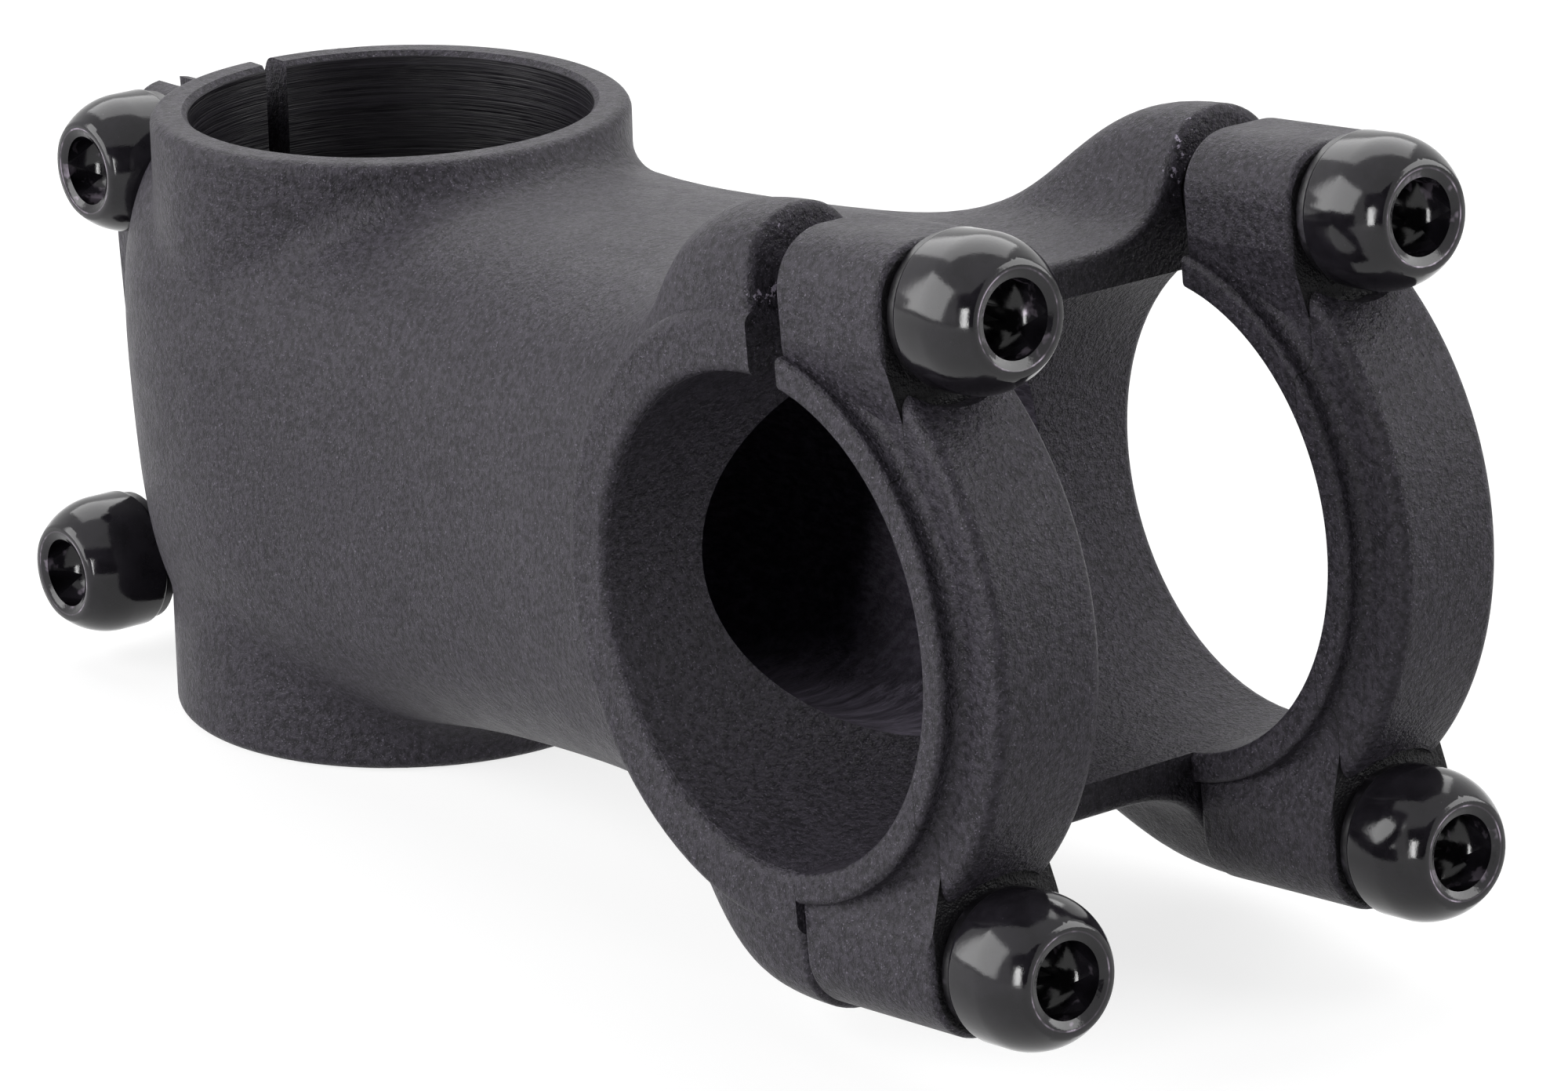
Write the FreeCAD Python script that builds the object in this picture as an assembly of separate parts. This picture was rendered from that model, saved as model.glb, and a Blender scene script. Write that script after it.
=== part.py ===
import FreeCAD, Part
import math
import os
from FreeCAD import Placement, Rotation, Vector

# Threadless handlebar stem, millimetres.
# +X points forward from the steerer to the handlebar, +Y to the rider's left, +Z up the steerer.
# The origin is on the steerer axis at the bottom face of the steerer clamp.

# Steerer clamp
steerer_radius = 14.3
clamp_height = 43.9
clamp_wall = 2.65
clamp_edge_round = 0.9
slot_width = 1.8
bore_edge_break = 0.4

# Extension
extension_length = 70.0
extension_rise = 6.0
axis_below_middle = 1.1
neck_half_width = 18.3
neck_below_rim = 3.55
clamp_swell_half_width = 18.6
swell_below_rim = 1.05
clamp_blend = 3.5
neck_squareness = 2.9
clamp_squareness = 3.7
flare_inset = 0.8
hollow_half_width = 14.7
hollow_half_height = 13.8
steerer_web = 5.5
hollow_end_round = 6.0

# Handlebar cradle
bar_radius = 15.9
cradle_width = 44.4
cradle_lip = 2.3
bar_edge_round = 0.7
ear_edge_round = 0.6
cheek_wall = 4.1
cheek_thickness = 2.6
cheek_round = 0.9
ear_face_ahead = 1.4
ear_corner_round = 3.8
ear_beyond_bolt = 5.0
ear_run = 18.0
ear_ridge = 3.5

# Face plates
band_width = 11.5
bead_wall = 2.0
bead_thickness = 1.3
rib_wall = 5.5
rib_setback = 1.6
boss_setback = 0.4
boss_draft_from = 2.0
cove_radius = 0.9
rib_corner_round = 0.9
band_edge_round = 0.4
seam_gap = 0.03
top_gap = 2.7
plate_seat_ahead = 14.2
boss_beyond_bolt = 4.5
boss_edge_round = 0.5

# Bolts and washers
bolt_spacing = 41.2
thread_radius = 3.0
thread_length = 18.0
head_radius = 5.0
head_height = 6.0
head_front_radius = 3.5
head_back_round = 0.5
socket_across_flats = 5.0
socket_depth = 3.2
socket_mouth_radius = 3.08
washer_radius = 4.7
washer_thickness = 0.6
pocket_radius = 5.9
thread_clearance = 0.05
shank_clearance = 0.08
washer_clearance = 0.06
seat_clearance = 0.02
tip_room = 1.5
tip_chamfer = 0.6

# Steerer clamp bolts
rear_thread_length = 12.0
rear_bolt_back = 21.3
rear_bolt_inset = 7.1
rear_seat = 5.6
rear_pocket_radius = 5.3
rear_lug_reach = 4.9
rear_lug_half_width = 5.9
rear_lug_drop = 3.5
lower_bolt_backed_off = 3.6

# Sizes that follow from the ones above
clamp_radius = steerer_radius + clamp_wall
extension_start = clamp_height / 2 - axis_below_middle
neck_half_height = clamp_height / 2 - neck_below_rim
clamp_swell_half_height = clamp_height / 2 - swell_below_rim
flare_half_width = cradle_width / 2 - flare_inset
rise = math.radians(extension_rise)
bar_x = extension_length * math.cos(rise)
bar_z = extension_start + extension_length * math.sin(rise)
bar_place = Placement(Vector(bar_x, 0, bar_z), Rotation(Vector(0, 1, 0), -extension_rise))
band_middle = (cradle_width - band_width) / 2
bolt_up = bolt_spacing / 2
ear_top = bolt_up + ear_beyond_bolt
ear_half_width = band_width / 2 - boss_setback
big = 4 * extension_length
ALONG, LEFT, UP = Vector(1, 0, 0), Vector(0, 1, 0), Vector(0, 0, 1)


def at_bar(shape):
    """Moves a shape from the handlebar's own frame (ahead, left, up) to the stem."""
    placed = shape.copy()
    placed.Placement = bar_place.multiply(placed.Placement)
    return placed


def mirrored(shape):
    """The same shape on the other side of the stem's middle plane."""
    return shape.mirror(Vector(0, 0, 0), LEFT)


def block(x0, x1, y0, y1, z0, z1):
    return Part.makeBox(x1 - x0, y1 - y0, z1 - z0, Vector(x0, y0, z0))


def rod(radius, start, direction, length):
    return Part.makeCylinder(radius, length, start, direction)


def edges_where(shape, test):
    return [edge for edge in shape.Edges if test(edge)]


def skinned_solid(rings):
    """Solid inside a smooth skin drawn through closed rings of control points, capped flat at both ends."""
    around, along = len(rings[0]), len(rings)
    skin = Part.BSplineSurface()
    skin.buildFromPolesMultsKnots(
        [[ring[i] for ring in rings] for i in range(around)],
        [1] * (around + 1),
        [4] + [1] * (along - 4) + [4],
        list(range(around + 1)),
        list(range(along - 2)),
        True, False, 3, 3,
    )
    ends = [skin.vIso(v).toShape() for v in (0, along - 3)]
    faces = [skin.toShape()] + [Part.Face(Part.Wire([end])) for end in ends]
    shell = Part.makeShell(faces)
    shell.sewShape()
    solid = Part.makeSolid(shell)
    if solid.Volume < 0:
        solid.reverse()
    return solid


def ear_quarter():
    """Control points of a quarter of the cradle's front outline, as (out, up): side, ear, then valley."""
    out = band_middle + ear_half_width
    inner = band_middle - ear_half_width
    shoulder = ear_top - ear_corner_round
    valley = bar_radius + cradle_lip
    return [
        (out, 0.0),
        (out, 0.5 * valley),
        (out, 0.9 * valley),
        (out, shoulder + 0.6),
        (out - 0.25 * ear_corner_round, ear_top - 0.25 * ear_corner_round),
        (out - ear_corner_round, ear_top + 0.5),
        (band_middle - 1.6, ear_top + 0.2),
        (band_middle - 3.5, ear_top - 0.5 * ear_corner_round),
        (inner + 0.5, bolt_up),
        (inner - 1.2, valley + 0.8),
        (inner - 4.2, valley),
        (0.25 * inner, valley),
        (0.0, valley),
    ]


def body_section(ahead, half_width, half_height, ear_share, centre=0.0, n=neck_squareness):
    """Section of the forging across the extension, from plain oval to eared cradle."""
    quarter = []
    eared = ear_quarter()
    for i, (out, up) in enumerate(eared):
        turn = 0.5 * math.atan2(up, out) + 0.25 * math.pi * i / (len(eared) - 1)
        reach = ((math.cos(turn) / half_width) ** n + (abs(math.sin(turn)) / half_height) ** n) ** (-1 / n)
        plain_out, plain_up = reach * math.cos(turn), reach * math.sin(turn)
        quarter.append((plain_out + ear_share * (out - plain_out), plain_up + ear_share * (up - plain_up)))
    ring = list(quarter)
    ring += [(-out, up) for out, up in reversed(quarter[:-1])]
    ring += [(-out, -up) for out, up in quarter[1:]]
    ring += [(out, -up) for out, up in reversed(quarter[1:-1])]
    return [Vector(ahead, out, up + centre) for out, up in ring]


def ear_share(ahead):
    """How far the ears have risen at a station: none at ear_run behind the bar, all at the bar."""
    part = min(1.0, max(0.0, 1 + (ahead + ear_ridge) / (ear_run - ear_ridge)))
    return math.sin(part * math.pi / 2) ** 1.6


def forging():
    """The forging's outside: clamp flanks, extension and eared cradle in one skin."""
    steerer = -extension_length
    lug_height = clamp_height / 2 - rear_lug_drop
    swell = (clamp_swell_half_width, clamp_swell_half_height)
    stations = [
        (steerer - rear_bolt_back - rear_lug_reach, rear_lug_half_width, lug_height),
        (steerer - rear_bolt_back + 1, rear_lug_half_width + 1.2, lug_height),
        (steerer - 0.85 * clamp_radius, 0.78 * swell[0], swell[1] - 1),
        (steerer - 0.25 * clamp_radius, swell[0], swell[1]),
        (steerer + 0.55 * clamp_radius, swell[0] - 0.2, swell[1] - 0.6),
        (steerer + 1.25 * clamp_radius, neck_half_width, neck_half_height),
        (0.5 * (steerer + clamp_radius - ear_run), neck_half_width + 0.4, neck_half_height),
        (-ear_run - 4, flare_half_width - 0.6, neck_half_height),
    ]
    rings = []
    for i, (ahead, wide, high) in enumerate(stations):
        axis_height = extension_start + (ahead + extension_length) * math.sin(rise)
        centre = clamp_height / 2 - axis_height if i < 5 else 0.0
        squareness = clamp_squareness if i < 3 else neck_squareness
        rings.append(body_section(ahead, wide, high, 0, centre, squareness))
    for share in (0.22, 0.45, 0.68, 0.9):
        ahead = (share - 1) * ear_run
        rings.append(body_section(ahead, flare_half_width, neck_half_height, ear_share(ahead)))
    rings.append(body_section(ear_face_ahead, flare_half_width, neck_half_height, 1))
    return skinned_solid(rings)


def disc(radius, outer_side, thickness, edge_round):
    """Disc about the bar axis, its outer face at outer_side and its outer rim rounded."""
    plate = rod(radius, Vector(0, outer_side - thickness, 0), LEFT, thickness)
    rim = edges_where(plate, lambda e: e.BoundBox.YMin > outer_side - 1e-3 and isinstance(e.Curve, Part.Circle))
    return plate.makeFillet(edge_round, rim)


def hollow():
    """Pocket that lightens the extension, open to the cradle and closed by a web at the steerer."""
    end = -extension_length + steerer_radius + steerer_web
    rings = []
    for ahead, wide, high in (
        (2.0, hollow_half_width, hollow_half_height),
        (-0.75 * bar_radius, hollow_half_width, hollow_half_height),
        (-1.25 * bar_radius, hollow_half_width, hollow_half_height),
        (0.5 * (end - 1.25 * bar_radius), hollow_half_width + 0.3, hollow_half_height + 0.6),
        (end + hollow_end_round, hollow_half_width - 1.0, hollow_half_height),
        (end, hollow_half_width - 2.5, hollow_half_height - 1.5),
        (end, 0.5 * hollow_half_width, 0.5 * hollow_half_height),
    ):
        turns = [2 * math.pi * i / 16 for i in range(16)]
        rings.append([Vector(ahead, wide * math.cos(t), high * math.sin(t)) for t in turns])
    return skinned_solid(rings)


def bar_bore():
    return rod(bar_radius, Vector(0, -big, 0), LEFT, 2 * big)


def bolt_spots():
    """Axis points of the face plate bolts beside and above the bar axis."""
    return [(side, end) for side in (-1, 1) for end in (1, -1)]


def on_cylinder(edge, radius):
    """Whether an edge lies on a cylinder of this radius about the steerer axis."""
    span = edge.LastParameter - edge.FirstParameter
    points = [edge.valueAt(edge.FirstParameter + span * k / 4) for k in range(5)]
    return all(abs(math.hypot(p.x, p.y) - radius) < 1e-3 for p in points)


def clamp_and_neck():
    """Forging skin with the clamp's ring grown out of it, blended where they meet."""
    ring = rod(clamp_radius, Vector(0, 0, 0), UP, clamp_height)
    ring.rotate(Vector(0, 0, 0), UP, 180)
    skin = forging()
    face = edges_where(skin, lambda e: e.BoundBox.XMin > ear_face_ahead - 1e-3)
    whole = at_bar(skin.makeFillet(ear_edge_round, face)).fuse(ring)
    ends = edges_where(whole, lambda e: isinstance(e.Curve, Part.Circle) and on_cylinder(e, clamp_radius))
    whole = whole.makeFillet(clamp_edge_round, ends)
    joints = edges_where(whole, lambda e: on_cylinder(e, clamp_radius) and 0.5 * clamp_edge_round < e.BoundBox.ZMin
                         and e.BoundBox.ZMax < clamp_height - 0.5 * clamp_edge_round
                         and not isinstance(e.Curve, (Part.Circle, Part.Line)))
    return whole.makeFillet(clamp_blend, joints)


def stem_body():
    cheek = disc(bar_radius + cheek_wall, cradle_width / 2, cheek_thickness, cheek_round)
    cheek = cheek.cut(block(ear_face_ahead, big, -big, big, -big, big))
    body = clamp_and_neck().fuse([at_bar(cheek), at_bar(mirrored(cheek))])
    body = body.cut([
        rod(steerer_radius, Vector(0, 0, -1), UP, clamp_height + 2),
        at_bar(bar_bore()),
        at_bar(hollow()),
        block(-big, 0, -slot_width / 2, slot_width / 2, -1, clamp_height + 1),
    ])
    bores = edges_where(body, lambda e: isinstance(e.Curve, Part.Circle) and on_cylinder(e, steerer_radius))
    body = body.makeChamfer(bore_edge_break, bores)
    for z in (rear_bolt_inset, clamp_height - rear_bolt_inset):
        axis = Vector(-rear_bolt_back, 0, z)
        body = body.cut([
            rod(rear_pocket_radius, axis - LEFT * rear_seat, -LEFT, clamp_radius),
            rod(thread_radius + shank_clearance, axis, -LEFT, clamp_radius),
            rod(thread_radius + thread_clearance, axis, LEFT, clamp_radius),
        ])
    ends = edges_where(body, lambda e: isinstance(e.Curve, Part.Circle) and abs(e.Curve.Radius - bar_radius) < 1e-3
                       and abs(abs(e.BoundBox.YMin) - cradle_width / 2) < 1e-3)
    body = body.makeFillet(bar_edge_round, ends)
    deep = thread_length - plate_seat_ahead + washer_thickness + tip_room
    for side, end in bolt_spots():
        start = Vector(ear_face_ahead + 1, side * band_middle, end * bolt_up)
        body = body.cut(at_bar(rod(thread_radius + thread_clearance, start, -ALONG, deep + ear_face_ahead + 1)))
    return body


def plate_section():
    """Cross-section of a band: bead, cove, web and rib, as a face across the bar's top."""
    half = band_width / 2
    bead, rib = bar_radius + bead_wall, bar_radius + rib_wall
    web = half - rib_setback
    soft = 0.4
    def line(a, b):
        return Part.LineSegment(Vector(0, *a), Vector(0, *b)).toShape()
    def arc(a, b, c):
        return Part.Arc(Vector(0, *a), Vector(0, *b), Vector(0, *c)).toShape()
    s = math.sin(math.radians(45))
    edges = []
    for k in (1, -1):
        cove_out = half - bead_thickness
        cove = min(cove_radius, cove_out - web + bead_thickness)
        points = [
            (k * half, bar_radius),
            (k * half, bead - soft),
            (k * (half - soft), bead),
            (k * (web + cove), bead),
            (k * web, bead + cove),
            (k * web, rib - rib_corner_round),
            (k * (web - rib_corner_round), rib),
        ]
        edges.append(line(points[0], points[1]))
        edges.append(arc(points[1], (k * (half - soft + soft * s), bead - soft + soft * s), points[2]))
        edges.append(line(points[2], points[3]))
        edges.append(arc(points[3], (k * (web + cove - cove * s), bead + cove - cove * s), points[4]))
        edges.append(line(points[4], points[5]))
        in_by = rib_corner_round * (1 - s)
        edges.append(arc(points[5], (k * (web - in_by), rib - in_by), points[6]))
    edges.append(line((web - rib_corner_round, rib), (-web + rib_corner_round, rib)))
    edges.append(line((half, bar_radius), (-half, bar_radius)))
    return Part.Face(Part.Wire(Part.__sortEdges__(edges)))


def boss(end, back):
    """Bolt boss of a band: a drafted, round-cornered block from its back face to the washer's seat."""
    half, corner = ear_half_width, ear_corner_round
    web = band_width / 2 - rib_setback
    low, mid = bolt_up - pocket_radius - 0.5, bolt_up - boss_draft_from
    top = bolt_up + boss_beyond_bolt
    s = math.sin(math.radians(45))
    def at(out, up):
        return Vector(back, out, end * up)
    def line(a, b):
        return Part.LineSegment(at(*a), at(*b)).toShape()
    edges = [line((-web, low), (web, low)), line((-half + corner, top), (half - corner, top))]
    for k in (1, -1):
        edges.append(line((k * web, low), (k * half, mid)))
        edges.append(line((k * half, mid), (k * half, top - corner)))
        a, b = (k * half, top - corner), (k * (half - corner), top)
        m = (k * (half - corner + corner * s), top - corner + corner * s)
        edges.append(Part.Arc(at(*a), at(*m), at(*b)).toShape())
    face = Part.Face(Part.Wire(Part.__sortEdges__(edges)))
    block_of_boss = face.extrude(ALONG * (plate_seat_ahead - back))
    outer = edges_where(block_of_boss, lambda e: e.BoundBox.XLength < 1e-3
                        and max(abs(e.BoundBox.ZMin), abs(e.BoundBox.ZMax)) > mid + 0.1)
    return block_of_boss.makeFillet(boss_edge_round, outer)


def face_plate():
    """One band in the bar's frame, centred on its own middle plane."""
    band = plate_section().revolve(Vector(0, 0, 0), LEFT, 360)
    low_back = ear_face_ahead + seam_gap
    high_back = ear_face_ahead + top_gap
    plate = band.fuse([boss(1, high_back), boss(-1, low_back)])
    plate = plate.cut([
        block(-big, high_back, -big, big, 0, big),
        block(-big, low_back, -big, big, -big, 0),
        bar_bore(),
    ])
    rims = edges_where(plate, lambda e: isinstance(e.Curve, Part.Circle)
                       and abs(e.Curve.Radius - bar_radius) < 1e-3)
    plate = plate.makeFillet(band_edge_round, rims)
    for end in (1, -1):
        seat = Vector(plate_seat_ahead, 0, end * bolt_up)
        plate = plate.cut([
            rod(pocket_radius, seat, ALONG, big),
            rod(thread_radius + shank_clearance, seat, -ALONG, big),
        ])
    return plate.removeSplitter()


def bolt(shank):
    """Socket head cap screw along +X: underside of the head at the origin, tip at -shank."""
    r, s = head_back_round, math.sin(math.radians(45))
    dome = 0.45 * head_height
    mouth = head_height - 0.25
    half_flat = socket_across_flats / 2
    def at(x, out):
        return Vector(x, 0, out)
    def line(a, b):
        return Part.LineSegment(at(*a), at(*b)).toShape()
    bulge = (head_height - 0.36 * (head_height - dome), head_radius - 0.42 * (head_radius - head_front_radius))
    edges = [
        line((-shank, 0), (-shank, thread_radius - tip_chamfer)),
        line((-shank, thread_radius - tip_chamfer), (-shank + tip_chamfer, thread_radius)),
        line((-shank + tip_chamfer, thread_radius), (0, thread_radius)),
        line((0, thread_radius), (0, head_radius - r)),
        Part.Arc(at(0, head_radius - r), at(r - r * s, head_radius - r + r * s), at(r, head_radius)).toShape(),
        line((r, head_radius), (dome, head_radius)),
        Part.Arc(at(dome, head_radius), at(*bulge), at(head_height, head_front_radius)).toShape(),
        line((head_height, head_front_radius), (head_height, socket_mouth_radius)),
        line((head_height, socket_mouth_radius), (mouth, half_flat)),
        line((mouth, half_flat), (mouth, 0)),
        line((mouth, 0), (-shank, 0)),
    ]
    blank = Part.Face(Part.Wire(edges)).revolve(Vector(0, 0, 0), ALONG, 360)
    corner = half_flat / math.cos(math.radians(30))
    turns = [math.radians(60 * i + 30) for i in range(7)]
    hexagon = [Vector(head_height + 1, corner * math.cos(t), corner * math.sin(t)) for t in turns]
    socket = Part.Face(Part.makePolygon(hexagon)).extrude(-ALONG * (socket_depth + 1))
    keep = Part.makeCone(half_flat, corner + 1, corner + 1 - half_flat, Vector(mouth, 0, 0), ALONG)
    socket = socket.common(rod(big / 10, Vector(-big, 0, 0), ALONG, big + mouth).fuse(keep))
    drill = rod(half_flat - 0.35, Vector(head_height - socket_depth - 1.0, 0, 0), ALONG, 2)
    return blank.cut([socket, drill])


def washer():
    """Flat washer along +X with its underside at the origin."""
    ring = rod(washer_radius, Vector(0, 0, 0), ALONG, washer_thickness)
    return ring.cut(rod(thread_radius + washer_clearance, Vector(-1, 0, 0), ALONG, washer_thickness + 2))


def main():
    os.makedirs("parts", exist_ok=True)
    parts = {"stem_body": stem_body()}
    plate = face_plate()
    names = {(-1, 1): "right_upper", (-1, -1): "right_lower", (1, 1): "left_upper", (1, -1): "left_lower"}
    for side, hand in ((-1, "right"), (1, "left")):
        parts["face_plate_" + hand] = at_bar(plate.translated(LEFT * (side * band_middle)))
    under = plate_seat_ahead + seat_clearance
    for side, end in bolt_spots():
        spot = Vector(under, side * band_middle, end * bolt_up)
        name = names[side, end]
        parts["washer_" + name] = at_bar(washer().translated(spot))
        parts["bolt_" + name] = at_bar(bolt(thread_length).translated(spot + ALONG * (washer_thickness + seat_clearance)))
    turn = Placement(Vector(0, 0, 0), Rotation(Vector(0, 0, 1), -90))
    heights = {"upper": clamp_height - rear_bolt_inset, "lower": rear_bolt_inset}
    for name, out in (("upper", 0), ("lower", lower_bolt_backed_off)):
        spot = Vector(-rear_bolt_back, -rear_seat - seat_clearance - out, heights[name])
        screw, ring = bolt(rear_thread_length), washer()
        for label, shape, lift in (("washer_", ring, 0), ("bolt_", screw, washer_thickness + seat_clearance)):
            shape.Placement = turn
            parts[label + "steerer_" + name] = shape.translated(spot - LEFT * lift)
    for name, shape in parts.items():
        shape.exportStep("parts/" + name + ".step")


main()
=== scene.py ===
import math

import bmesh
import bpy
from mathutils import Matrix, Vector


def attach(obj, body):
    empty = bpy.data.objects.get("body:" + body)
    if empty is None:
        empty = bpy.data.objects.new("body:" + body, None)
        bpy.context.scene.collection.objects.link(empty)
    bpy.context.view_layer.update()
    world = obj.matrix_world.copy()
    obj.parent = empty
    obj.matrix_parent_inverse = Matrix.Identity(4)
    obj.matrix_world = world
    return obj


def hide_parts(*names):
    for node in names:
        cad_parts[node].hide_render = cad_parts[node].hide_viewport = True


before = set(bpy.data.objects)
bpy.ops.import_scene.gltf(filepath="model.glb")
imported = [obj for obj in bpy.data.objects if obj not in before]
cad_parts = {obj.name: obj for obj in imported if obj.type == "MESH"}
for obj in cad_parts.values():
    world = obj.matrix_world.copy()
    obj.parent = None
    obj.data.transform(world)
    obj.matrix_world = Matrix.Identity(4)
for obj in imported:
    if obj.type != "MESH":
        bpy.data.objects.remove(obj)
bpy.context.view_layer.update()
MM = 0.001
IN_MM = 1000.0

# Where the handlebar lies: its axis, and the stem's own forward and up there
RISE = math.radians(6.0)
FORWARD = Vector((math.cos(RISE), 0.0, math.sin(RISE)))
UPWARD = Vector((-math.sin(RISE), 0.0, math.cos(RISE)))
BAR = Vector((69.6165, 0.0, 28.167)) * MM

# Where a finish changes: each pair is the start and end of a short ramp, in metres
STEERER_SKIN = (0.01432, 0.01434)
HANDLEBAR_SKIN = (0.01592, 0.01594)
POCKET_FLOOR = (-0.0502, -0.0500)
POCKET_HALF_WIDTH = 0.0154
POCKET_HALF_HEIGHT = 0.0148
GRAIN_DEPTH = 0.00018

# Distances in millimetres: the plates' screw seats ahead of the bar, and the socket's lip round its axis
SEAT_FACE = 14.2
SOCKET_LIP = 3.1


class Tree:
    """A node tree with short calls for the nodes that the finishes are made of."""

    def __init__(self, tree):
        self.tree = tree

    def add(self, kind, **settings):
        made = self.tree.nodes.new(kind)
        for key, value in settings.items():
            setattr(made, key, value)
        return made

    def feed(self, socket, value):
        if isinstance(value, bpy.types.NodeSocket):
            self.tree.links.new(value, socket)
        else:
            socket.default_value = value

    def math(self, operation, *values, clamp=False):
        made = self.add("ShaderNodeMath", operation=operation, use_clamp=clamp)
        for socket, value in zip(made.inputs, values):
            self.feed(socket, value)
        return made.outputs[0]

    def vector(self, operation, *values):
        made = self.add("ShaderNodeVectorMath", operation=operation)
        for socket, value in zip(made.inputs, values):
            self.feed(socket, value)
        return made.outputs["Value" if operation == "DOT_PRODUCT" else "Vector"]

    def scaled(self, vector, factor):
        made = self.add("ShaderNodeVectorMath", operation="SCALE")
        self.feed(made.inputs[0], vector)
        self.feed(made.inputs["Scale"], factor)
        return made.outputs["Vector"]

    def from_axis(self, a, b):
        """Distance from an axis, out of two offsets at right angles to it."""
        return self.math("SQRT", self.math("ADD", self.math("MULTIPLY", a, a), self.math("MULTIPLY", b, b)))

    def distance_to(self, value, place):
        return self.math("ABSOLUTE", self.math("SUBTRACT", value, place))

    def noise(self, where, scale, detail=2.0, roughness=0.5):
        made = self.add("ShaderNodeTexNoise")
        self.feed(made.inputs["Vector"], where)
        for name, value in (("Scale", scale), ("Detail", detail), ("Roughness", roughness)):
            self.feed(made.inputs[name], value)
        return made.outputs["Fac"]

    def ramp(self, value, low, high, bottom=0.0, top=1.0):
        made = self.add("ShaderNodeMapRange", interpolation_type="SMOOTHSTEP", clamp=True)
        for socket, given in zip(made.inputs, (value, low, high, bottom, top)):
            self.feed(socket, given)
        return made.outputs[0]

    def blend(self, share, a, b):
        made = self.add("ShaderNodeMix", data_type="RGBA", clamp_factor=True)
        self.feed(made.inputs[0], share)
        self.feed(made.inputs[6], a)
        self.feed(made.inputs[7], b)
        return made.outputs[2]

    def lerp(self, share, a, b):
        made = self.add("ShaderNodeMix", data_type="FLOAT", clamp_factor=True)
        self.feed(made.inputs[0], share)
        self.feed(made.inputs[2], a)
        self.feed(made.inputs[3], b)
        return made.outputs[0]

    def stretched(self, where, scales):
        return self.vector("MULTIPLY", where, scales)


def finish_group(name, inputs, outputs):
    """An empty shader group with these inputs, as (kind, name, value), and outputs, as (kind, name)."""
    group = bpy.data.node_groups.new(name, "ShaderNodeTree")
    kinds = {"vector": "NodeSocketVector", "value": "NodeSocketFloat", "colour": "NodeSocketColor"}
    for kind, title, value in inputs:
        made = group.interface.new_socket(name=title, in_out="INPUT", socket_type=kinds[kind])
        made.default_value = value
    for kind, title in outputs:
        group.interface.new_socket(name=title, in_out="OUTPUT", socket_type=kinds[kind])
    tree = Tree(group)
    entry = tree.add("NodeGroupInput")
    exit_ = tree.add("NodeGroupOutput")
    return group, tree, entry.outputs, exit_.inputs


def grey(value, warm=0.0):
    """Grey with the slight violet tint of the photograph's blacks, or a warmer one."""
    return (value * (1 + warm), value * 0.9, value * (1.15 - warm), 1.0)


def from_bar_axis(t, where):
    """How far ahead of the handlebar's axis, and how far above it, a place lies, in metres."""
    spot = t.vector("SUBTRACT", where, tuple(BAR))
    return t.vector("DOT_PRODUCT", spot, tuple(FORWARD)), t.vector("DOT_PRODUCT", spot, tuple(UPWARD))


def make_blasted_paint():
    """Fine-grained black paint over bead-blasted metal: colour, roughness and grain height."""
    group, t, given, out = finish_group(
        "blasted_paint",
        [("vector", "Where", (0, 0, 0)), ("colour", "Paint", grey(0.024)), ("value", "Grain", 1.0),
         ("value", "Bare share", 0.0)],
        [("colour", "Colour"), ("value", "Roughness"), ("value", "Height")],
    )
    where = given["Where"]
    coarse = t.noise(where, 2400.0, 2.0, 0.55)
    fine = t.noise(where, 6500.0, 2.0, 0.6)
    cloud = t.noise(where, 90.0, 3.0, 0.55)
    handled = t.noise(where, 420.0, 3.0, 0.6)
    height = t.math("ADD", t.math("MULTIPLY", coarse, 0.7), t.math("MULTIPLY", fine, 0.45))
    speck = t.ramp(fine, 0.62, 0.7)
    tone = t.math("MULTIPLY_ADD", cloud, 0.35, 0.82)
    tone = t.math("MULTIPLY", tone, t.ramp(coarse, 0.32, 0.68, 0.5, 1.6))
    lit = t.scaled(given["Paint"], tone)
    colour = t.blend(t.math("MULTIPLY", speck, 0.7), lit, grey(0.15))
    colour = t.blend(given["Bare share"], colour, grey(0.42, 0.01))
    rough = t.math("ADD", t.ramp(handled, 0.35, 0.7, 0.40, 0.48), t.math("MULTIPLY", speck, -0.08))
    rough = t.lerp(given["Bare share"], rough, 0.38)
    t.feed(out["Colour"], colour)
    t.feed(out["Roughness"], rough)
    t.feed(out["Height"], t.math("MULTIPLY", height, given["Grain"]))
    return group


def make_edge_chips():
    """Bright chips along the edge where a flat joint face meets the outside, as a mask."""
    group, t, given, out = finish_group(
        "edge_chips",
        [("vector", "Where", (0, 0, 0)), ("value", "Plane", 0.0), ("value", "Width", 0.3),
         ("value", "Amount", 0.5)],
        [("value", "Mask")],
    )
    ahead, above = from_bar_axis(t, given["Where"])
    ahead = t.math("MULTIPLY", ahead, IN_MM)
    above = t.math("ABSOLUTE", t.math("MULTIPLY", above, IN_MM))
    off = t.distance_to(ahead, given["Plane"])
    near = t.math("SUBTRACT", 1.0, t.math("DIVIDE", off, given["Width"]), clamp=True)
    outer = t.ramp(above, 19.5, 21.0)
    broken = t.noise(given["Where"], 1500.0, 4.0, 0.65)
    patchy = t.noise(given["Where"], 170.0, 2.0, 0.5)
    chance = t.math("MULTIPLY", t.ramp(broken, 0.56, 0.64), t.ramp(patchy, 0.52, 0.62))
    mask = t.math("MULTIPLY", t.math("MULTIPLY", near, outer), t.math("MULTIPLY", chance, given["Amount"]))
    t.feed(out["Mask"], t.math("MULTIPLY", t.ramp(mask, 0.1, 0.45), 0.7))
    return group


BLASTED_PAINT = make_blasted_paint()
EDGE_CHIPS = make_edge_chips()


def placed(t, group, **values):
    made = t.add("ShaderNodeGroup", node_tree=group)
    for name, value in values.items():
        t.feed(made.inputs[name.replace("_", " ")], value)
    return made.outputs


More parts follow.
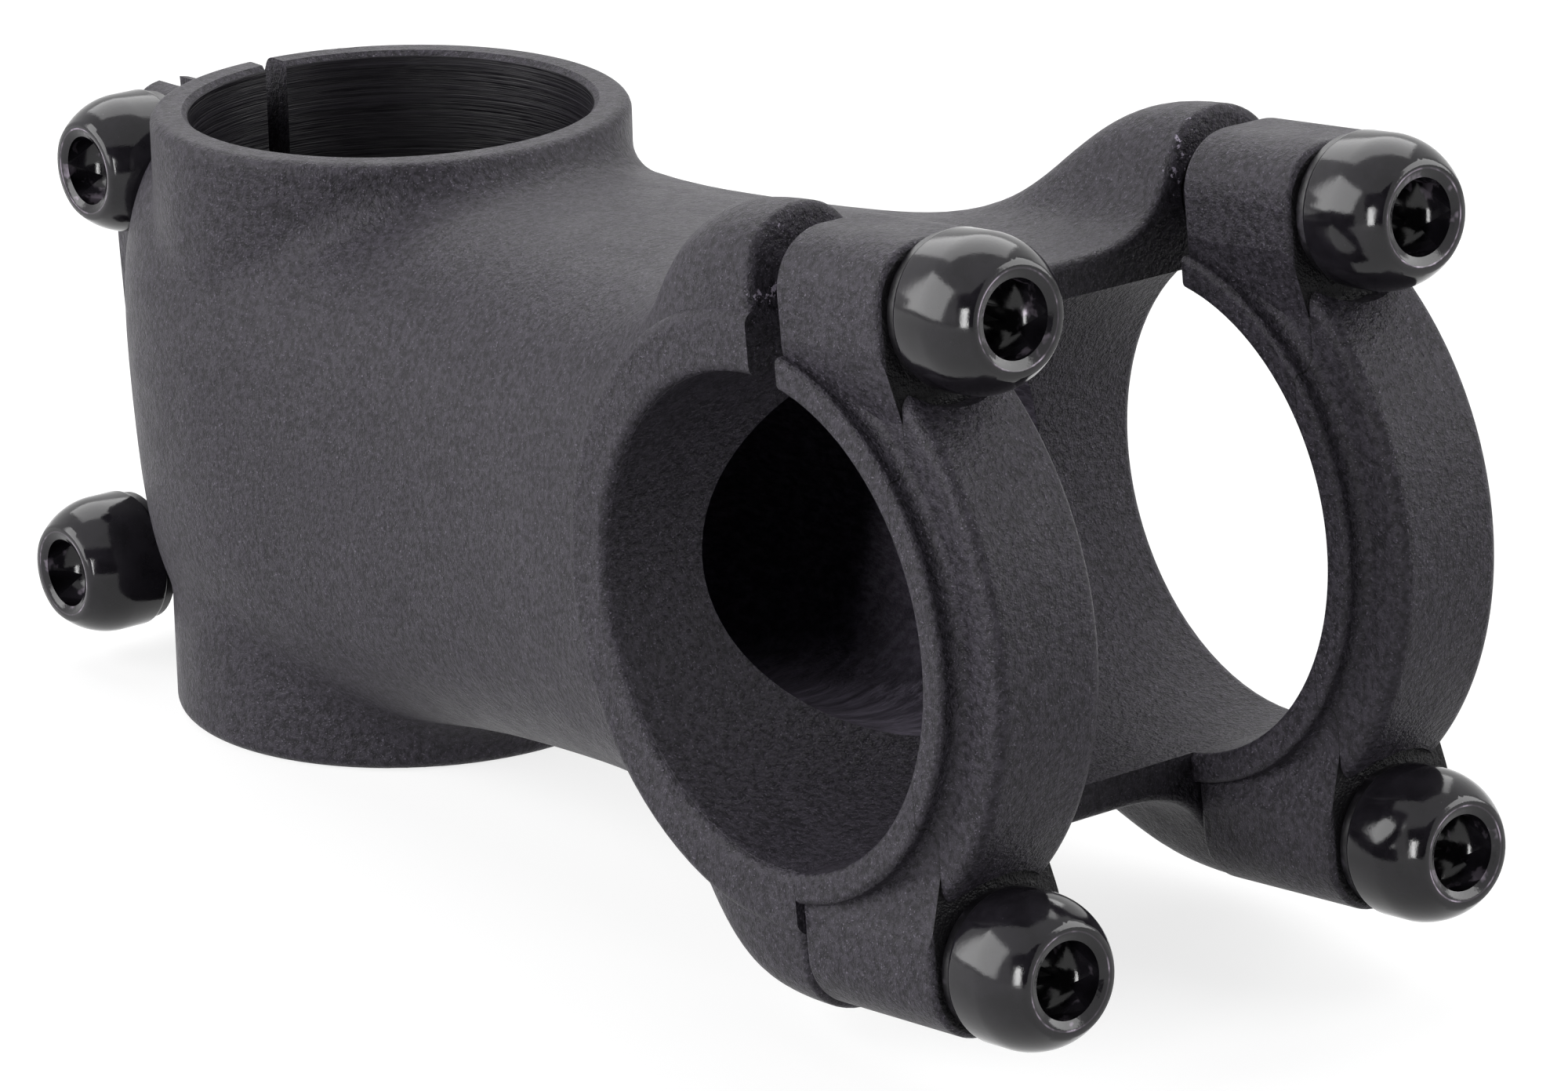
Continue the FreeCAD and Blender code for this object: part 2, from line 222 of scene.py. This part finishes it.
def new_finish(name, gloss=0.5):
    """A material with one Principled shader, and its tree, shader and object coordinates."""
    material = bpy.data.materials.new(name)
    material.use_nodes = True
    material.node_tree.nodes.clear()
    t = Tree(material.node_tree)
    shader = t.add("ShaderNodeBsdfPrincipled")
    shader.inputs["Specular IOR Level"].default_value = gloss
    result = t.add("ShaderNodeOutputMaterial")
    t.tree.links.new(shader.outputs[0], result.inputs[0])
    where = t.add("ShaderNodeTexCoord").outputs["Object"]
    return material, t, shader, where


def bumped(t, shader, height, distance):
    bump = t.add("ShaderNodeBump")
    t.feed(bump.inputs["Height"], height)
    bump.inputs["Distance"].default_value = distance
    t.tree.links.new(bump.outputs[0], shader.inputs["Normal"])


def forging_finish():
    """Stem body: blasted paint outside, turned steerer bore, brushed pocket made lighter as painted light,
    grainy cradle.
    """
    material, t, shader, where = new_finish("stem_body_paint", 0.16)
    chips = placed(t, EDGE_CHIPS, Where=where, Plane=1.4, Width=0.7, Amount=1.0)["Mask"]
    paint = placed(t, BLASTED_PAINT, Where=where, Grain=1.0, Bare_share=chips)
    split = t.add("ShaderNodeSeparateXYZ")
    t.feed(split.inputs[0], where)
    x, y, z = split.outputs
    in_bore = t.ramp(t.from_axis(x, y), *STEERER_SKIN, 1.0, 0.0)
    turned = t.noise(t.stretched(where, (60.0, 60.0, 5200.0)), 1.0, 3.0, 0.7)
    ahead, above = from_bar_axis(t, where)
    in_cradle = t.ramp(t.from_axis(ahead, above), *HANDLEBAR_SKIN, 1.0, 0.0)
    sideways = t.math("DIVIDE", y, POCKET_HALF_WIDTH)
    upward = t.math("DIVIDE", above, POCKET_HALF_HEIGHT)
    oval = t.math("ADD", t.math("MULTIPLY", sideways, sideways), t.math("MULTIPLY", upward, upward))
    in_pocket = t.ramp(oval, 1.0, 1.05, 1.0, 0.0)
    in_pocket = t.math("MULTIPLY", in_pocket, t.ramp(ahead, *POCKET_FLOOR))
    in_pocket = t.math("MULTIPLY", in_pocket, t.math("SUBTRACT", 1.0, in_cradle))
    brushed = t.noise(t.stretched(where, (900.0, 160.0, 2600.0)), 1.0, 4.0, 0.7)
    # The pocket is coloured much lighter than the paint outside. The brushed streaks are its own grain; the
    # lightness is painted light inside the hollow.
    brushed_pocket_with_painted_light = t.blend(t.ramp(brushed, 0.35, 0.7), grey(0.06), grey(0.16))
    bore_colour = t.blend(t.ramp(turned, 0.4, 0.7), grey(0.007), grey(0.016))
    colour = t.blend(in_bore, t.blend(in_pocket, paint["Colour"], brushed_pocket_with_painted_light), bore_colour)
    rough = t.lerp(in_pocket, paint["Roughness"], t.ramp(brushed, 0.3, 0.7, 0.4, 0.55))
    rough = t.lerp(in_bore, rough, t.ramp(turned, 0.3, 0.7, 0.26, 0.42))
    height = t.math("MULTIPLY", paint["Height"], t.lerp(in_cradle, 1.0, 1.7))
    height = t.lerp(in_pocket, height, t.math("MULTIPLY", brushed, 2.0))
    height = t.lerp(in_bore, height, t.math("MULTIPLY", turned, 0.8))
    t.feed(shader.inputs["Base Color"], colour)
    t.feed(shader.inputs["Roughness"], rough)
    bumped(t, shader, height, GRAIN_DEPTH)
    return material


def band_finish():
    """Face plates: the same blasted paint, chipped at their joint faces, with painted shade on the screw
    seats.
    """
    material, t, shader, where = new_finish("face_plate_paint", 0.16)
    upper = placed(t, EDGE_CHIPS, Where=where, Plane=4.1, Width=0.6, Amount=0.8)["Mask"]
    lower = placed(t, EDGE_CHIPS, Where=where, Plane=1.43, Width=0.6, Amount=0.8)["Mask"]
    paint = placed(t, BLASTED_PAINT, Where=where, Grain=1.0, Bare_share=t.math("MAXIMUM", upper, lower))
    ahead = t.math("MULTIPLY", from_bar_axis(t, where)[0], IN_MM)
    # Painted shade: the screw seats are coloured near black where the heads shade them.
    painted_seat_shade = t.ramp(t.distance_to(ahead, SEAT_FACE), 0.02, 0.05, 1.0, 0.0)
    t.feed(shader.inputs["Base Color"], t.blend(painted_seat_shade, paint["Colour"], grey(0.004)))
    t.feed(shader.inputs["Roughness"], paint["Roughness"])
    bumped(t, shader, paint["Height"], GRAIN_DEPTH)
    return material


def make_screw_coating():
    """Gloss black screw coating, worn bright at the socket, with fine scratches as a height.

    Seat, Axis and Side place the screw; the distances from them are in millimetres.
    """
    group, t, given, out = finish_group(
        "screw_coating",
        [("vector", "Where", (0, 0, 0)), ("vector", "Seat", (0, 0, 0)),
         ("vector", "Axis", (1, 0, 0)), ("vector", "Side", (0, 1, 0))],
        [("colour", "Colour"), ("value", "Roughness"), ("value", "Metal"), ("value", "Height")],
    )
    where, axis, side = given["Where"], given["Axis"], given["Side"]
    spot = t.scaled(t.vector("SUBTRACT", where, given["Seat"]), IN_MM)
    along = t.vector("DOT_PRODUCT", spot, axis)
    a = t.vector("DOT_PRODUCT", spot, side)
    b = t.vector("DOT_PRODUCT", spot, t.vector("CROSS_PRODUCT", axis, side))
    out_by = t.from_axis(a, b)
    on_thread = t.ramp(along, -1.2, -0.8, 1.0, 0.0)
    scratch = t.noise(where, 3600.0, 4.0, 0.7)
    patch = t.noise(where, 520.0, 3.0, 0.6)
    front = t.ramp(along, 5.4, 5.8)
    at_lip = t.ramp(t.distance_to(out_by, SOCKET_LIP), 0.02, 0.08, 1.0, 0.0)
    lip = t.math("MULTIPLY", front, at_lip)
    rubbed = t.math("MULTIPLY", lip, t.ramp(patch, 0.45, 0.62, 0.1, 0.8))
    inside = t.math("MULTIPLY", t.ramp(out_by, 2.9, 3.0, 1.0, 0.0), t.ramp(along, 2.0, 2.2))
    bitten = t.math("MULTIPLY", inside, t.ramp(patch, 0.56, 0.68, 0.0, 0.5))
    nick = t.math("MULTIPLY", t.ramp(along, 0.2, 0.6), t.ramp(scratch, 0.72, 0.76))
    bare = t.math("MAXIMUM", rubbed, t.math("MULTIPLY", bitten, 0.8))
    bare = t.math("MAXIMUM", bare, t.math("MULTIPLY", nick, 0.6))
    coated = t.blend(t.ramp(patch, 0.3, 0.7), grey(0.008), grey(0.014))
    t.feed(out["Colour"], t.blend(bare, coated, grey(0.36, 0.05)))
    rough = t.math("ADD", t.ramp(patch, 0.3, 0.7, 0.07, 0.13), t.math("MULTIPLY", on_thread, 0.15))
    t.feed(out["Roughness"], t.lerp(bare, rough, 0.35))
    t.feed(out["Metal"], t.math("MULTIPLY", bare, 0.9))
    t.feed(out["Height"], scratch)
    return group


SCREW_COATING = make_screw_coating()


def side_of(axis):
    """A level direction square to a screw's axis."""
    return Vector((0, 0, 1)).cross(axis).normalized()


def screw_finish(name, seat, axis):
    """The screw coating, placed at one screw's seat."""
    material, t, shader, where = new_finish("screw_" + name, 0.36)
    side = side_of(axis)
    coat = placed(t, SCREW_COATING, Where=where, Seat=tuple(seat), Axis=tuple(axis), Side=tuple(side))
    t.feed(shader.inputs["Base Color"], coat["Colour"])
    t.feed(shader.inputs["Roughness"], coat["Roughness"])
    t.feed(shader.inputs["Metallic"], coat["Metal"])
    bumped(t, shader, coat["Height"], 0.000006)
    return material


def washer_finish():
    """Washers: thinner satin coating with a faint grain and random lighter patches."""
    material, t, shader, where = new_finish("washer_coating")
    grain = t.noise(where, 5200.0, 3.0, 0.6)
    patch = t.noise(where, 700.0, 3.0, 0.6)
    t.feed(shader.inputs["Base Color"], t.blend(t.ramp(patch, 0.55, 0.7), grey(0.006), grey(0.03)))
    t.feed(shader.inputs["Roughness"], t.ramp(patch, 0.3, 0.7, 0.28, 0.42))
    bumped(t, shader, grain, 0.000012)
    return material


def dress(node, material):
    """Gives a CAD node its finish."""
    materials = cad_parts[node].data.materials
    materials.clear()
    materials.append(material)


# Screws with their threads cut

THREAD_TOP = 2.98 * MM
THREAD_ROOT = 2.42 * MM
PITCH = 1.0 * MM
STEPS_A_TURN = 30
SHANK_STEPS = 48
TIP_CHAMFER = 0.5 * MM
CORE_END = 1.9 * MM
NECK_LENGTH = 1.4 * MM
INTO_HEAD = 0.3 * MM
THREAD_RUNOUT = 2.9 * MM
HEAD_CUT = 0.2 * MM
SHARP_ANGLE = math.radians(28)


def turned_solid(bm, outline, steps):
    """Full turn about X of an outline of (along, out) points whose ends lie on the axis."""
    points = [bm.verts.new((along, 0.0, out)) for along, out in outline]
    edges = [bm.edges.new(pair) for pair in zip(points, points[1:])]
    bmesh.ops.spin(bm, geom=points + edges, cent=(0, 0, 0), axis=(1, 0, 0), dvec=(0, 0, 0),
                   angle=2 * math.pi, steps=steps, use_merge=True, use_duplicate=False)


def threaded_shank(bm, length):
    """Core with a chamfered tip, plain neck under the head, and a helical ridge round the core."""
    core = THREAD_ROOT + 0.02 * MM
    start = -length + TIP_CHAMFER
    turned_solid(bm, [(-length, 0.0), (-length, core - TIP_CHAMFER), (start, core), (-CORE_END, core),
                      (-NECK_LENGTH, THREAD_TOP), (INTO_HEAD, THREAD_TOP), (INTO_HEAD, 0.0)], SHANK_STEPS)
    ridge = [(0.0, THREAD_ROOT), (0.87 * PITCH, THREAD_ROOT),
             (0.5 * PITCH, THREAD_TOP), (0.37 * PITCH, THREAD_TOP)]
    corners = [bm.verts.new((start + along, 0.0, out)) for along, out in ridge]
    face = bm.faces.new(corners)
    turns = (length - THREAD_RUNOUT) / PITCH
    steps = int(turns * STEPS_A_TURN)
    bmesh.ops.spin(bm, geom=[face], cent=(0, 0, 0), axis=(1, 0, 0),
                   dvec=(PITCH / STEPS_A_TURN, 0, 0), angle=-2 * math.pi * steps / STEPS_A_TURN,
                   steps=steps, use_merge=False, use_duplicate=False)


def cut_thread(name, seat, axis, length, material):
    """A screw: the CAD head on a shank with a real thread, in place of the CAD screw."""
    side = side_of(axis)
    turned = Matrix((axis, side, axis.cross(side))).transposed().to_4x4()
    turned.translation = seat
    shank = bmesh.new()
    threaded_shank(shank, length)
    bmesh.ops.transform(shank, matrix=turned, verts=shank.verts)
    bmesh.ops.recalc_face_normals(shank, faces=shank.faces)
    mesh = bpy.data.meshes.new("screw_" + name)
    shank.to_mesh(mesh)
    shank.free()
    head = bmesh.new()
    head.from_mesh(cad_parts["bolt_" + name].data)
    bmesh.ops.remove_doubles(head, verts=head.verts, dist=0.002 * MM)
    bmesh.ops.bisect_plane(head, geom=head.verts[:] + head.edges[:] + head.faces[:], dist=0.001 * MM,
                           plane_co=seat - axis * HEAD_CUT, plane_no=-axis, clear_outer=True)
    bmesh.ops.holes_fill(head, edges=[edge for edge in head.edges if edge.is_boundary], sides=0)
    bmesh.ops.recalc_face_normals(head, faces=head.faces)
    head.from_mesh(mesh)
    head.to_mesh(mesh)
    head.free()
    for face in mesh.polygons:
        face.use_smooth = True
    mesh.set_sharp_from_angle(angle=SHARP_ANGLE)
    mesh.materials.append(material)
    piece = bpy.data.objects.new("screw_" + name, mesh)
    bpy.context.scene.collection.objects.link(piece)
    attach(piece, "bolt_" + name)
    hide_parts("bolt_" + name)


# The stem, dressed piece by piece

BAND = 16.45 * MM
SEAT = 14.84 * MM
SCREW_UP = 20.6 * MM
FRONT_LENGTH = 18.0 * MM
REAR_LENGTH = 12.0 * MM
REAR_SCREWS = (("steerer_upper", 36.8, 0.0), ("steerer_lower", 7.1, 3.6))
REAR_X, REAR_FACE = -21.3, -6.24
dress("stem_body", forging_finish())
bands = band_finish()
washers = washer_finish()
for hand, side in (("right", -1), ("left", 1)):
    dress("face_plate_" + hand, bands)
    for level, end in (("upper", 1), ("lower", -1)):
        name = hand + "_" + level
        seat = BAR + FORWARD * SEAT + UPWARD * (end * SCREW_UP) + Vector((0, side * BAND, 0))
        cut_thread(name, seat, FORWARD, FRONT_LENGTH, screw_finish(name, seat, FORWARD))
        dress("washer_" + name, washers)
outward = Vector((0, -1, 0))
for name, height, out in REAR_SCREWS:
    seat = Vector((REAR_X, REAR_FACE - out, height)) * MM
    cut_thread(name, seat, outward, REAR_LENGTH, screw_finish(name, seat, outward))
    dress("washer_" + name, washers)


PHOTO_WIDTH = 2000.0
FOCAL_PIXELS = 9063.85
SENSOR_WIDTH = 36.0
CAMERA_ANGLES = (52.11, 18.45, -1.22)
CAMERA_PLACE = Vector((398.57, -275.97, 171.92)) * MM
AIM = Vector((0.035, 0.0, 0.028))
FLAG_TOWARD = Vector((0.3636, -0.276, 0.144)).normalized()
FLAG_DISTANCE = 0.95


def camera_axes(azimuth, elevation, roll):
    """Right, up and back of the camera for these angles in degrees."""
    az, el, ro = (math.radians(v) for v in (azimuth, elevation, roll))
    back = Vector((math.sin(az) * math.cos(el), -math.cos(az) * math.cos(el), math.sin(el)))
    right = (-back).cross(Vector((0, 0, 1))).normalized()
    up = right.cross(-back)
    return (right * math.cos(ro) + up * math.sin(ro), up * math.cos(ro) - right * math.sin(ro), back)


def add_camera():
    """The photograph's camera, as fitted to the rims of the bores and the screw heads."""
    data = bpy.data.cameras.new("camera")
    data.sensor_width = SENSOR_WIDTH
    data.lens = FOCAL_PIXELS * SENSOR_WIDTH / PHOTO_WIDTH
    data.clip_start = 0.01
    camera = bpy.data.objects.new("camera", data)
    bpy.context.scene.collection.objects.link(camera)
    place = Matrix(camera_axes(*CAMERA_ANGLES)).transposed().to_4x4()
    place.translation = CAMERA_PLACE
    camera.matrix_world = place
    bpy.context.scene.camera = camera


def add_softbox(name, bearing, elevation, distance, size, power):
    """Area lamp that faces the stem from a bearing (degrees from +X towards +Y)."""
    data = bpy.data.lights.new(name, "AREA")
    data.shape = "RECTANGLE"
    data.size, data.size_y = size
    data.energy = power
    lamp = bpy.data.objects.new(name, data)
    bpy.context.scene.collection.objects.link(lamp)
    b, e = math.radians(bearing), math.radians(elevation)
    toward = Vector((math.cos(b) * math.cos(e), math.sin(b) * math.cos(e), math.sin(e)))
    lamp.location = AIM + toward * distance
    lamp.rotation_euler = toward.to_track_quat("Z", "Y").to_euler()
    lamp.visible_camera = False


def add_flag():
    """Black card beyond the camera, unseen by it, so that what faces the camera goes dark."""
    bpy.ops.mesh.primitive_plane_add(size=1.0)
    flag = bpy.context.object
    flag.name = "black_flag"
    flag.scale = (1.25, 1.0, 1.0)
    flag.location = AIM + FLAG_TOWARD * FLAG_DISTANCE
    flag.rotation_euler = FLAG_TOWARD.to_track_quat("Z", "Y").to_euler()
    flag.visible_camera = False
    material = bpy.data.materials.new("flag_black")
    material.use_nodes = True
    shader = material.node_tree.nodes["Principled BSDF"]
    shader.inputs["Base Color"].default_value = (0.01, 0.01, 0.01, 1.0)
    shader.inputs["Roughness"].default_value = 0.9
    flag.data.materials.append(material)


def white_where_seen(t, plain, white):
    """Mix of a plain shader with a white one for camera, glossy and transmission rays."""
    path = t.add("ShaderNodeLightPath")
    seen = t.math("MAXIMUM", path.outputs["Is Camera Ray"], path.outputs["Is Glossy Ray"])
    seen = t.math("MAXIMUM", seen, path.outputs["Is Transmission Ray"])
    mix = t.add("ShaderNodeMixShader")
    t.feed(mix.inputs[0], seen)
    t.tree.links.new(plain, mix.inputs[1])
    t.tree.links.new(white, mix.inputs[2])
    return mix.outputs[0]


def add_world():
    """Weak fill light, and white wherever the camera or a reflection sees the surroundings."""
    world = bpy.data.worlds.new("studio")
    bpy.context.scene.world = world
    world.use_nodes = True
    world.node_tree.nodes.clear()
    t = Tree(world.node_tree)
    fill = t.add("ShaderNodeBackground")
    fill.inputs[0].default_value = (0.95, 0.96, 1.0, 1.0)
    fill.inputs[1].default_value = 0.05
    white = t.add("ShaderNodeBackground")
    white.inputs[0].default_value = (1.0, 1.0, 1.0, 1.0)
    white.inputs[1].default_value = 1.0
    result = t.add("ShaderNodeOutputWorld")
    t.tree.links.new(white_where_seen(t, fill.outputs[0], white.outputs[0]), result.inputs[0])


def add_floor():
    """Floor under the stem: nearly white where seen, with a soft shadow, but a weak bounce light."""
    bpy.ops.mesh.primitive_plane_add(size=6.0, location=(0, 0, 0))
    floor = bpy.context.object
    floor.name = "floor"
    material = bpy.data.materials.new("floor_white")
    material.use_nodes = True
    material.node_tree.nodes.clear()
    t = Tree(material.node_tree)
    plain = t.add("ShaderNodeBsdfDiffuse")
    plain.inputs[0].default_value = (0.22, 0.22, 0.22, 1.0)
    dim = t.add("ShaderNodeBsdfDiffuse")
    dim.inputs[0].default_value = (0.3, 0.3, 0.3, 1.0)
    glow = t.add("ShaderNodeEmission")
    glow.inputs[1].default_value = 0.78
    both = t.add("ShaderNodeAddShader")
    t.tree.links.new(dim.outputs[0], both.inputs[0])
    t.tree.links.new(glow.outputs[0], both.inputs[1])
    result = t.add("ShaderNodeOutputMaterial")
    t.tree.links.new(white_where_seen(t, plain.outputs[0], both.outputs[0]), result.inputs[0])
    floor.data.materials.append(material)


add_camera()
add_world()
add_floor()
add_flag()
add_softbox("left_softbox", -114, 24, 0.62, (0.6, 0.5), 4.7)
add_softbox("right_softbox", 47, 28, 0.62, (0.42, 0.5), 3.3)
add_softbox("top_softbox", 146, 52, 0.8, (0.9, 0.7), 5.2)
add_softbox("front_strip", -60, 10, 0.6, (0.08, 0.25), 1.3)
bpy.context.scene.view_settings.view_transform = "Standard"
